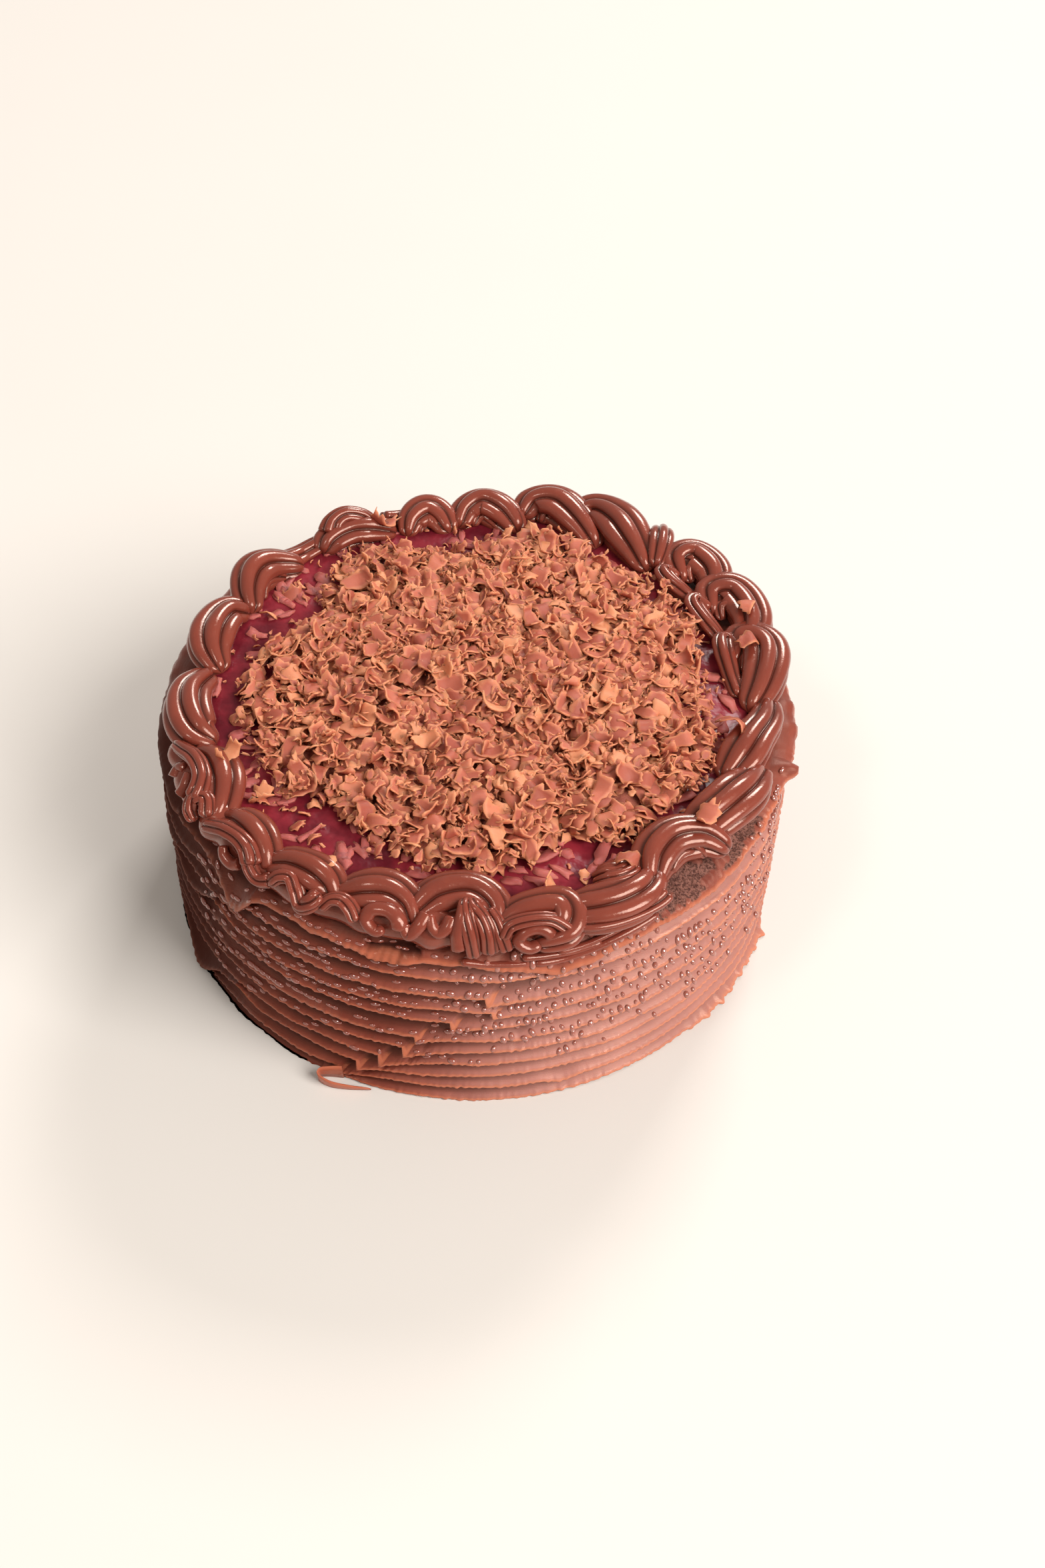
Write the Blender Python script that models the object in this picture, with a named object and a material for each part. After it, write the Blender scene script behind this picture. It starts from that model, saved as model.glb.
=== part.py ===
"""A round chocolate cake: combed ganache sides, a dark red jelly top, a heap of chocolate shavings on it and a piped
rope border round the rim. Metres, +Z up. The origin is the middle of the flat base, and -Y is the front."""
import math
import random

import bmesh
import bpy
from mathutils import Vector, noise

# The covered cake
CAKE_RADIUS = 0.100
CAKE_HEIGHT = 0.076
SHOULDER = 0.008  # radius of the rounded top edge
GAP = 0.0003  # left between pieces that touch

# The comb's ridges lap over each other like boards: a sharp lip, then a slope back to the valley above it
LIP_COUNT = 10
LIP_PITCH = 0.0066
LOWEST_LIP = 0.0009
LIP_UNDERCUT = 0.0010  # height of the step under a lip
LIP_DEPTH = 0.0018
WALL_SEGMENTS = 64
WALL_WAVE = 0.0006  # how far the wall wanders from round
SEAM_LOW = 246.0  # azimuth in degrees at the base, where the comb's stroke starts and ends
SEAM_LEAN = 44.0  # degrees that the seam leans over the height
SEAM_STEP = 0.5  # how far the ridges are out of step there, as a share of the pitch

# The jelly's pool on the flat top
JELLY_RADIUS = 0.0800
JELLY_DEPTH = 0.0020

# The piped border: strokes of a star tip, one after the other, clockwise seen from above. Each one starts on the tail
# of the stroke before it
ROPE_RADIUS = 0.0073
ROPE_FLATNESS = 0.80  # half its height as a share of half its width
ROPE_STATIONS = 9
CREST_STEP = 60.0  # degrees between the three crests on the rope's upper side
CREST_WIDTH = 32.0  # degrees that a crest is wide
VALLEY_SHARE = 0.76  # a valley's radius as a share of its crest's
DROOP = 0.6  # how far a stroke follows the rounded edge down, as a share of the way
# Height of the rope's middle and its radius at the five points of a stroke, both in rope radii
RISE = (0.30, 0.52, 0.60, 0.50, 0.28)
GIRTH = (0.58, 0.88, 1.00, 0.98, 0.62)
# Each stroke as (thickness, lift in millimetres, then five points as azimuth in degrees and radius in millimetres)
STROKES = (
    (0.95, 0.0, (131, 82), (128, 84), (123, 84.5), (118, 83), (112, 80)),
    (0.90, 0.0, (110, 77), (108, 82), (104, 85), (101, 82), (99, 76)),
    (1.00, 0.0, (97, 78), (95, 84), (91, 87), (86, 83), (82, 77)),
    (1.10, 0.0, (82, 84), (80, 90), (75, 91), (69, 86), (62, 79)),
    (1.10, 0.5, (71, 90), (67, 94), (61, 91), (55, 86), (47, 79.5)),
    (0.62, 4.0, (53.5, 99), (52, 96), (50, 91), (48, 86), (46, 81)),
    (1.00, 0.5, (39, 85), (44, 89), (43, 95), (37, 95), (31, 88)),
    (1.00, 0.5, (27, 84), (32, 88), (30, 95), (22, 94.5), (14, 87)),
    (1.05, 0.0, (11, 83), (17, 88), (13, 93), (5, 90), (-3, 85)),
    (1.00, 0.0, (0, 91), (-6, 90), (-12, 87), (-18, 85), (-24, 83)),
    (1.10, 0.0, (-18, 92), (-24, 91), (-30, 89), (-36, 87), (-42, 86)),
    (1.05, 0.0, (-38, 97), (-40, 89), (-45, 84.5), (-51, 86), (-55, 92)),
    (1.05, -0.5, (-52, 86), (-56, 92), (-61, 94), (-67, 93), (-72, 90)),
    (1.05, -1.0, (-78, 97), (-73, 96), (-73, 91), (-79, 90), (-85, 94)),
    (1.05, 0.0, (-84, 94), (-85, 87), (-89, 83), (-95, 85), (-99, 91)),
    (1.00, 0.0, (-98, 94), (-100, 89), (-104, 86.5), (-109, 88), (-114, 92)),
    (1.00, 0.0, (-113, 93), (-115, 90), (-119, 88.5), (-124, 89), (-128, 92)),
    (1.00, 0.0, (-127, 94), (-129, 91), (-133, 89), (-138, 89), (-142, 91)),
    (1.00, 0.0, (-142, 94), (-144, 90), (-149, 86), (-155, 85.5), (-160, 89)),
    (1.05, 0.0, (-161, 82), (-164, 87), (-170, 89), (-176, 88), (-182, 83)),
    (1.05, 0.0, (-183, 80), (-188, 85), (-194, 87), (-200, 86), (-203, 81)),
    (1.05, 0.0, (-203, 80), (-207, 85), (-212, 88), (-217, 87), (-223, 81)),
)

# The heap of shavings, with bites where the jelly shows, as (azimuth in degrees, width in degrees, depth)
HEAP_CENTRE = Vector((0.003, 0.001, 0.0))
HEAP_RADIUS = 0.0725
HEAP_HEIGHT = 0.0075
HEAP_SEGMENTS = 36
HEAP_RINGS = 5
HEAP_BITES = ((232, 11, 0.009), (291, 9, 0.010), (154, 15, 0.013), (96, 26, 0.009), (8, 24, 0.004))
FLAKE_COUNT = 92
FLAKE_LENGTH = (0.0065, 0.0120)
FLAKE_WIDTH = (0.0040, 0.0068)
FLAKE_THICKNESS = 0.0009
FLAKE_CURL = (0.0035, 0.0075)  # radius that a flake is rolled to
FLAKE_BANDS = 3
FLAKE_TILT = 55.0  # most that a flake leans, in degrees
FLAKE_MARGIN = 0.0045  # kept between a flake's middle and the heap's edge
GOLDEN_TURN = math.pi * (3 - math.sqrt(5))
SHAVINGS_SEED = 7


def clear_scene():
    for item in list(bpy.data.objects):
        bpy.data.objects.remove(item)


def material(name, colour, roughness):
    made = bpy.data.materials.new(name)
    made.use_nodes = True
    shader = made.node_tree.nodes["Principled BSDF"]
    shader.inputs["Base Color"].default_value = (*colour, 1.0)
    shader.inputs["Roughness"].default_value = roughness
    shader.inputs["Metallic"].default_value = 0.0
    return made


def add_object(name, mesh, finish=None):
    made = bpy.data.objects.new(name, mesh)
    bpy.context.scene.collection.objects.link(made)
    if finish:
        mesh.materials.append(finish)
    return made


def mesh_of_rings(name, rings, closed_ends=True):
    """A tube through rings of points, each listed anticlockwise seen from the last ring."""
    mesh = bpy.data.meshes.new(name)
    count = len(rings[0])
    points = [tuple(p) for ring in rings for p in ring]
    faces = []
    for r in range(len(rings) - 1):
        low, high = r * count, (r + 1) * count
        for i in range(count):
            j = (i + 1) % count
            faces.append((low + i, low + j, high + j, high + i))
    if closed_ends:
        faces.append(tuple(reversed(range(count))))
        faces.append(tuple(range((len(rings) - 1) * count, len(rings) * count)))
    mesh.from_pydata(points, [], faces)
    mesh.update()
    return mesh


def smooth(item, sharp_degrees):
    item.data.shade_smooth()
    item.data.set_sharp_from_angle(angle=math.radians(sharp_degrees))


def shoulder_arc(extra, steps):
    """The rounded top edge as (radius, height), from the wall to the flat top, grown by extra."""
    centre_r, centre_z = CAKE_RADIUS - LIP_DEPTH / 2 - SHOULDER, CAKE_HEIGHT - SHOULDER
    turns = [math.pi / 2 * i / steps for i in range(steps + 1)]
    reach = SHOULDER + extra
    return [(centre_r + reach * math.cos(t), centre_z + reach * math.sin(t)) for t in turns]


def seam_drift(azimuth, height):
    """How far the ridges are lifted, in pitches: it runs down round the cake and jumps back at the seam."""
    seam = SEAM_LOW + SEAM_LEAN * height / CAKE_HEIGHT
    turn = ((azimuth - seam) % 360) / 360
    return SEAM_STEP * (0.5 - turn)


def wall_wave(azimuth, height):
    a = math.radians(azimuth)
    place = Vector((2.2 * math.cos(a), 2.2 * math.sin(a), 30 * height))
    return WALL_WAVE * noise.noise(place)


def cake_rings():
    """Rings of the wall from the base up, the sharp lips and the valleys between them, then the rounded edge."""
    profile = [(CAKE_RADIUS - LIP_DEPTH, 0.0, False)]
    for k in range(LIP_COUNT):
        lip = LOWEST_LIP + k * LIP_PITCH
        profile.append((CAKE_RADIUS, lip, k > 0))
        profile.append((CAKE_RADIUS - LIP_DEPTH, lip + LIP_PITCH - LIP_UNDERCUT, k < LIP_COUNT - 1))
    profile.pop()
    profile += [(r, z, False) for r, z in shoulder_arc(0.0, 4)]
    rings = []
    for radius, height, drifts in profile:
        ring = []
        for i in range(WALL_SEGMENTS):
            azimuth = 360 * i / WALL_SEGMENTS
            a = math.radians(azimuth)
            z = height
            r = radius
            if drifts:
                z += LIP_PITCH * seam_drift(azimuth, height)
                r += wall_wave(azimuth, height)
            ring.append((r * math.cos(a), r * math.sin(a), z))
        rings.append(ring)
    return rings


def build_cake(finish):
    cake = add_object("cake_body", mesh_of_rings("cake_body", cake_rings()), finish)
    smooth(cake, 35)
    return cake


def build_jelly(finish):
    """A shallow pool with a rounded rim."""
    bottom = CAKE_HEIGHT + GAP
    profile = (
        (JELLY_RADIUS, bottom),
        (JELLY_RADIUS, bottom + JELLY_DEPTH * 0.6),
        (JELLY_RADIUS - 0.0012, bottom + JELLY_DEPTH),
    )
    rings = [
        [
            (r * math.cos(t), r * math.sin(t), z)
            for t in (2 * math.pi * i / 56 for i in range(56))
        ]
        for r, z in profile
    ]
    jelly = add_object("jelly_top", mesh_of_rings("jelly_top", rings), finish)
    smooth(jelly, 35)
    return jelly


def curve_through(points, steps):
    """Catmull-Rom curve through tuples of numbers, sampled evenly between them."""
    last = len(points) - 1
    made = []
    for i in range(steps):
        place = last * i / (steps - 1)
        k = min(int(place), last - 1)
        t = place - k
        a, b, c, d = (points[min(max(j, 0), last)] for j in (k - 1, k, k + 1, k + 2))
        made.append(
            tuple(
                0.5 * (2 * q + (r - p) * t + (2 * p - 5 * q + 4 * r - s) * t * t + (3 * q - p - 3 * r + s) * t ** 3)
                for p, q, r, s in zip(a, b, c, d)
            )
        )
    return made


def top_height(radius):
    """Height of the covered cake at a radius, down to the side of its rounded edge."""
    flat = CAKE_RADIUS - LIP_DEPTH / 2 - SHOULDER
    over = min(max(radius - flat, 0.0), 0.95 * SHOULDER)
    return CAKE_HEIGHT - SHOULDER + math.sqrt(SHOULDER**2 - over**2)


def stroke_line(thickness, lift, *places):
    """The middle of one stroke as (point, radius) at each station."""
    bearings = [(azimuth, radius / 1000, rise, girth) for (azimuth, radius), rise, girth in zip(places, RISE, GIRTH)]
    line = []
    for azimuth, radius, rise, girth in curve_through(bearings, ROPE_STATIONS):
        a = math.radians(azimuth)
        floor = CAKE_HEIGHT - DROOP * (CAKE_HEIGHT - top_height(radius)) + lift / 1000
        middle = Vector((radius * math.cos(a), radius * math.sin(a), floor + rise * thickness * ROPE_RADIUS))
        line.append((middle, girth * thickness * ROPE_RADIUS))
    return line


def rope_section():
    """Three broad crests over the rope's upper side and two points below, as (across, up) in shares of the radius."""
    arch = []
    for crest in (-CREST_STEP, 0.0, CREST_STEP):
        if arch:
            arch.append((crest - CREST_STEP / 2, VALLEY_SHARE))
        arch += [(crest - CREST_WIDTH / 2, 1.0), (crest + CREST_WIDTH / 2, 1.0)]
    section = []
    for degrees, share in [*arch, (130.0, 0.85), (230.0, 0.85)]:
        turn = math.radians(degrees)
        section.append((share * math.sin(turn), ROPE_FLATNESS * share * math.cos(turn)))
    return section


def stroke_mesh(name, line):
    rings = []
    for k, (centre, radius) in enumerate(line):
        before, after = line[max(k - 1, 0)][0], line[min(k + 1, len(line) - 1)][0]
        along = (after - before).normalized()
        across = along.cross(Vector((0, 0, 1))).normalized()
        up = across.cross(along)
        rings.append(
            [centre + radius * (high * up + wide * across) for wide, high in rope_section()]
        )
    return mesh_of_rings(name, rings)


def turned(name, profile, segments):
    """A closed solid of revolution about the Z axis, from (radius, height)."""
    rings = []
    for r, z in profile:
        turns = (2 * math.pi * i / segments for i in range(segments))
        rings.append([(r * math.cos(t), r * math.sin(t), z) for t in turns])
    return add_object(name, mesh_of_rings(name, rings))


def join_all(base, others, name):
    """Unites base with every mesh object in others, and keeps only the largest closed shell."""
    group = bpy.data.collections.new(name + "_parts")
    bpy.context.scene.collection.children.link(group)
    for item in others:
        bpy.context.scene.collection.objects.unlink(item)
        group.objects.link(item)
    union = base.modifiers.new("union", "BOOLEAN")
    union.operation = "UNION"
    union.operand_type = "COLLECTION"
    union.collection = group
    union.solver = "MANIFOLD"
    bake(base)
    for item in others:
        bpy.data.objects.remove(item)
    bpy.data.collections.remove(group)
    keep_largest_shell(base.data)


def cut(base, cutter):
    """Cuts cutter out of base and removes it."""
    step = base.modifiers.new("cut", "BOOLEAN")
    step.operation = "DIFFERENCE"
    step.object = cutter
    step.solver = "MANIFOLD"
    bake(base)
    bpy.data.objects.remove(cutter)
    keep_largest_shell(base.data)


def bake(item):
    """Applies the modifiers of an object."""
    graph = bpy.context.evaluated_depsgraph_get()
    made = bpy.data.meshes.new_from_object(item.evaluated_get(graph))
    item.modifiers.clear()
    old = item.data
    item.data = made
    bpy.data.meshes.remove(old)
    made.name = item.name


def keep_largest_shell(mesh):
    """Drops loose scraps and sealed hollows, which are the smaller shells of the mesh."""
    work = bmesh.new()
    work.from_mesh(mesh)
    unseen = set(work.faces)
    shells = []
    while unseen:
        shell, front = [], [unseen.pop()]
        while front:
            face = front.pop()
            shell.append(face)
            for edge in face.edges:
                if len(edge.link_faces) != 2:  # shells that only meet along an edge
                    continue
                for other in edge.link_faces:
                    if other in unseen:
                        unseen.remove(other)
                        front.append(other)
        shells.append(shell)
    shells.sort(key=lambda faces: sum(f.calc_area() for f in faces))
    for shell in shells[:-1]:
        bmesh.ops.delete(work, geom=shell, context="FACES")
    loose = [v for v in work.verts if not v.link_faces]
    bmesh.ops.delete(work, geom=loose, context="VERTS")
    work.to_mesh(mesh)
    work.free()


def build_border(finish):
    ropes = [
        add_object(f"stroke_{i}", stroke_mesh(f"stroke_{i}", stroke_line(*stroke))) for i, stroke in enumerate(STROKES)
    ]
    border = ropes[0]
    join_all(border, ropes[1:], "piped_border")
    floor = 0.020
    room = JELLY_RADIUS + GAP
    jelly_space = [(room, CAKE_HEIGHT - floor), (room, heap_floor())]
    cut(border, turned("jelly_space", jelly_space, 56))
    under = shoulder_arc(GAP, 6)
    cake_space = [(under[0][0], CAKE_HEIGHT - floor), *under]
    cut(border, turned("cake_space", cake_space, WALL_SEGMENTS))
    border.name = "piped_border"
    border.data.name = "piped_border"
    border.data.materials.clear()
    border.data.materials.append(finish)
    smooth(border, 40)
    return border


def heap_reach(azimuth):
    """The heap's radius in a direction, in degrees."""
    reach = HEAP_RADIUS
    for middle, width, depth in HEAP_BITES:
        off = (azimuth - middle + 180) % 360 - 180
        reach -= depth * math.exp(-((off / width) ** 2))
    return reach


def heap_surface(share):
    """Height of the heap's core at a share of its reach."""
    return HEAP_HEIGHT * (1 - share ** 2.4)


def heap_floor():
    return CAKE_HEIGHT + JELLY_DEPTH + 2 * GAP


def build_core():
    """A low lumpy mound."""
    rings = []
    rim = 0.0010
    for k in range(HEAP_RINGS + 1):
        share = 1 - k / (HEAP_RINGS + 0.5)
        ring = []
        for i in range(HEAP_SEGMENTS):
            azimuth = 360 * i / HEAP_SEGMENTS
            a = math.radians(azimuth)
            r = share * (heap_reach(azimuth) - 0.004)
            lump = 0.0014 * noise.noise(Vector((r * math.cos(a), r * math.sin(a), 0.3)) * 110)
            z = heap_floor() + rim + (heap_surface(share) + lump * (k > 0)) * 0.8
            ring.append((HEAP_CENTRE.x + r * math.cos(a), HEAP_CENTRE.y + r * math.sin(a), z))
        rings.append(ring)
    base = [(x, y, heap_floor()) for x, y, _ in rings[0]]
    return add_object("shavings", mesh_of_rings("shavings", [base, *rings]))


def build_flake(index, rng):
    """One curled shaving: a bent strip, laid on the mound by a sunflower spiral and tipped at random."""
    share = math.sqrt((index + 0.5) / FLAKE_COUNT)
    azimuth = math.degrees(index * GOLDEN_TURN) % 360
    reach = heap_reach(azimuth) - FLAKE_MARGIN
    a = math.radians(azimuth)
    length = rng.uniform(*FLAKE_LENGTH)
    width = rng.uniform(*FLAKE_WIDTH)
    curl = rng.uniform(*FLAKE_CURL)
    place = HEAP_CENTRE + Vector((share * reach * math.cos(a), share * reach * math.sin(a), 0))
    place.z = heap_floor() + 0.0008 + heap_surface(share) * 0.85
    rings = []
    for k in range(FLAKE_BANDS + 1):
        turn = (k / FLAKE_BANDS - 0.5) * length / curl
        inner, outer = curl, curl + FLAKE_THICKNESS
        half = width / 2 * (0.75 + 0.25 * math.cos(turn))
        s, c = math.sin(turn), math.cos(turn)
        rings.append(
            [
                Vector((inner * s, -half, inner * c - curl)),
                Vector((outer * s, -half, outer * c - curl)),
                Vector((outer * s, half, outer * c - curl)),
                Vector((inner * s, half, inner * c - curl)),
            ]
        )
    spin = rng.uniform(0, 2 * math.pi)
    tip = math.radians(rng.uniform(-FLAKE_TILT, FLAKE_TILT))
    roll = math.radians(rng.uniform(-FLAKE_TILT, FLAKE_TILT)) * 0.6
    flip = rng.random() < 0.35
    name = f"flake_{index}"
    mesh = mesh_of_rings(name, [list(reversed(ring)) for ring in rings])
    flake = add_object(name, mesh)
    flake.rotation_euler = (roll + (math.pi if flip else 0), tip, spin)
    flake.location = place + Vector((0, 0, 0.0012))
    return flake


def build_shavings(finish):
    rng = random.Random(SHAVINGS_SEED)
    core = build_core()
    flakes = [build_flake(i, rng) for i in range(FLAKE_COUNT)]
    bpy.context.view_layer.update()
    join_all(core, flakes, "shavings")
    cut(core, turned("under_heap", [(0.12, heap_floor() - 0.02), (0.12, heap_floor())], 24))
    core.data.materials.clear()
    core.data.materials.append(finish)
    return core


def main():
    clear_scene()
    ganache = material("ganache", (0.155, 0.050, 0.030), 0.35)
    build_cake(ganache)
    build_border(ganache)
    build_jelly(material("jelly", (0.150, 0.010, 0.025), 0.12))
    build_shavings(material("shaved_chocolate", (0.420, 0.170, 0.080), 0.55))


main()
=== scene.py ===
"""The looks of a round chocolate cake: combed cream sides with droplets, a piped rope border, a dark red
jelly top with shavings sunk in it, and a heap of curled chocolate shavings. Metres, +Z up, -Y the front."""
import math
from collections import namedtuple

import bpy
import numpy as np
from mathutils import Matrix, Vector, noise


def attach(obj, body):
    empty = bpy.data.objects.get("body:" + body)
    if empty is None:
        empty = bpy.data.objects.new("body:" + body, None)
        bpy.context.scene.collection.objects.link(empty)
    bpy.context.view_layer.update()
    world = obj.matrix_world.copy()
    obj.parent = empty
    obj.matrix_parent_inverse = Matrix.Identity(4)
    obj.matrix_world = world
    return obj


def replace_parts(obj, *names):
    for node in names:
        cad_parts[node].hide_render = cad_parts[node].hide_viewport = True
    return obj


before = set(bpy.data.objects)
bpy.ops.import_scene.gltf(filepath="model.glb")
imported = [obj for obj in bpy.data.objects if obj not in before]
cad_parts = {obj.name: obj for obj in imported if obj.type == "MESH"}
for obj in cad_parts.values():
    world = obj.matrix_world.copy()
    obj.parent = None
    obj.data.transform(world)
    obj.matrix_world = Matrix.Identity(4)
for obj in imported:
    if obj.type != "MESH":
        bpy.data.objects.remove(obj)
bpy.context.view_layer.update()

# The photograph and the camera that was fitted to the cake's base and top edge
PHOTO_WIDTH, PHOTO_HEIGHT = 1568, 2352
FOCAL_LENGTH = 3000.0  # in pixels of the photograph
CAMERA_PLACE = Vector((0.0155, -0.4385, 0.5224))
CAMERA_PITCH = 47.93  # degrees below the horizon
CAMERA_ROLL = 2.16

# The cake, as in the CAD model
CAKE_RADIUS = 0.100
CAKE_HEIGHT = 0.076
SHOULDER = 0.008
GAP = 0.0003
JELLY_RADIUS = 0.0800
JELLY_DEPTH = 0.0020
WALL_TOP = CAKE_HEIGHT - SHOULDER  # where the wall turns over into the rounded edge
FLAT_RADIUS = 0.0911  # where the rounded edge meets the flat top

# The combed wall. Each lip as (height right of the seam, height left of it, the seam's azimuth, how far its
# tip dips), in millimetres and degrees, from the lowest up
LIPS = (
    (0.6, -1.0, 244.0, 0.0),
    (7.4, 4.9, 247.3, 5.6),
    (13.8, 11.7, 251.3, 5.8),
    (20.1, 18.4, 255.4, 6.4),
    (26.5, 25.2, 260.0, 5.2),
    (32.6, 31.3, 262.2, 3.6),
    (39.5, 40.3, 268.3, 3.0),
    (45.0, 46.2, 275.2, 1.6),
    (51.4, 53.0, 274.3, 1.6),
    (60.2, 61.4, 283.2, 0.9),
)
# Places where a lip rises or falls, as (lip, azimuth, half width in degrees, millimetres)
KINKS = (
    (8, 221.5, 5, 0.6), (7, 221.5, 4.6, 5.2), (7, 211, 6, -3.8), (3, 223, 9, -1.2),
    (2, 225.5, 4.2, 4.2), (2, 210.5, 6.5, -10), (9, 205, 8, -3), (8, 201, 8, -4),
    (9, 305, 11, 1.4), (9, 321, 17, 3.4), (8, 321, 18, 2.6), (7, 321, 18, 1.4),
    (8, 300, 12, 1.6), (7, 303, 14, 1.6), (1, 288, 3, -1.2), (5, 280, 1.5, -1),
    (0, 300, 14, 1), (8, 120, 14, 2), (6, 92, 9, -1.6), (4, 60, 12, 1.6),
    (2, 135, 9, 2), (5, 20, 8, -1.5),
)
# The lower edge of the cream that sags from under the border, as (azimuth, millimetres up the side)
SAG = (
    (0, 69), (150, 70), (196, 66), (204, 68), (212, 71), (221, 70.5), (224.2, 65.5),
    (226.4, 58.8), (228.5, 60.5), (231.5, 67.5), (234, 70), (246, 69.4), (256, 67.2), (262, 68.4),
    (270, 69), (276, 67.6), (281, 65.4), (286, 63.4), (292, 65), (299, 67.4), (306, 67.6),
    (316, 67.6), (327, 69), (338, 70.5), (350, 69), (360, 69),
)
FLAP_REACH = 7.0  # degrees over which a lip climbs back from its tip
SEAM_SLANT = 4.2  # degrees that the torn end of a board leans to the right on its way up
LIP_DEPTH = 0.0042
LEAST_BOARD = 0.0012
BOARDS_END = 0.0840  # how far up the side and in over the top the last board reaches
DRIPPING_LIPS = (4, 6, 8, 9)

# A board of the wall from its lip up, as (share of the board, share of the depth, how much it is a lip's
# edge and takes the painted highlight and wet gloss, how much painted shade it takes, as if deep in the shade)
BOARD = (
    (0.09, -1.02, 0.0, 1.0),
    (0.02, -0.60, 0.2, 1.0),
    (-0.06, -0.10, 0.8, 0.3),
    (-0.01, 0.02, 1.0, 0.0),
    (0.06, 0.00, 0.8, 0.0),
    (0.15, -0.16, 0.2, 0.05),
    (0.28, -0.40, 0.0, 0.55),
    (0.48, -0.62, 0.0, 0.90),
    (0.72, -0.80, 0.0, 1.0),
    (0.90, -0.95, 0.0, 1.0),
)
BOARD_FACE = 4  # the first of these points that lies on the board's face

# The piped border. Its strokes lie as in the CAD model, on a rope that is a little thicker: each as
# (thickness, lift in millimetres, then five points as azimuth in degrees and radius in millimetres)
ROPE_RADIUS = 0.0075
ROPE_FLATNESS = 0.80
DROOP = 0.6
RISE = (0.30, 0.52, 0.60, 0.50, 0.28)
GIRTH = (0.50, 0.84, 1.00, 0.95, 0.58)
STROKES = (
    (0.95, 0, (131, 82), (128, 84), (123, 84.5), (118, 83), (112, 80)),
    (0.9, 0, (110, 77), (108, 82), (104, 85), (101, 82), (99, 76)),
    (1, 0, (97, 78), (95, 84), (91, 87), (86, 83), (82, 77)),
    (1.1, 0, (82, 84), (80, 90), (75, 91), (69, 86), (62, 79)),
    (1.1, 0.5, (71, 90), (67, 94), (61, 91), (55, 86), (47, 79.5)),
    (0.62, 4, (53.5, 99), (52, 96), (50, 91), (48, 86), (46, 81)),
    (1, 0.5, (39, 85), (44, 89), (43, 95), (37, 95), (31, 88)),
    (1, 0.5, (27, 84), (32, 88), (30, 95), (22, 94.5), (14, 87)),
    (1.05, 0, (11, 83), (17, 88), (13, 93), (5, 90), (-3, 85)),
    (1, 0, (0, 91), (-6, 90), (-12, 87), (-18, 85), (-24, 83)),
    (1.1, 0, (-18, 92), (-24, 91), (-30, 89), (-36, 87), (-42, 86)),
    (1.05, 0, (-38, 97), (-40, 89), (-45, 84.5), (-51, 86), (-55, 92)),
    (1.05, -0.5, (-52, 86), (-56, 92), (-61, 94), (-67, 93), (-72, 90)),
    (1.05, -1, (-78, 97), (-73, 96), (-73, 91), (-79, 90), (-85, 94)),
    (1.05, 0, (-84, 94), (-85, 87), (-89, 83), (-95, 85), (-99, 91)),
    (1, 0, (-98, 94), (-100, 89), (-104, 86.5), (-109, 88), (-114, 92)),
    (1, 0, (-113, 93), (-115, 90), (-119, 88.5), (-124, 89), (-128, 92)),
    (1, 0, (-127, 94), (-129, 91), (-133, 89), (-138, 89), (-142, 91)),
    (1, 0, (-142, 94), (-144, 90), (-149, 86), (-155, 85.5), (-160, 89)),
    (1.05, 0, (-161, 82), (-164, 87), (-170, 89), (-176, 88), (-182, 83)),
    (1.05, 0, (-183, 80), (-188, 85), (-194, 87), (-200, 86), (-203, 81)),
    (1.05, 0, (-203, 80), (-207, 85), (-212, 88), (-217, 87), (-223, 81)),
)
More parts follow.
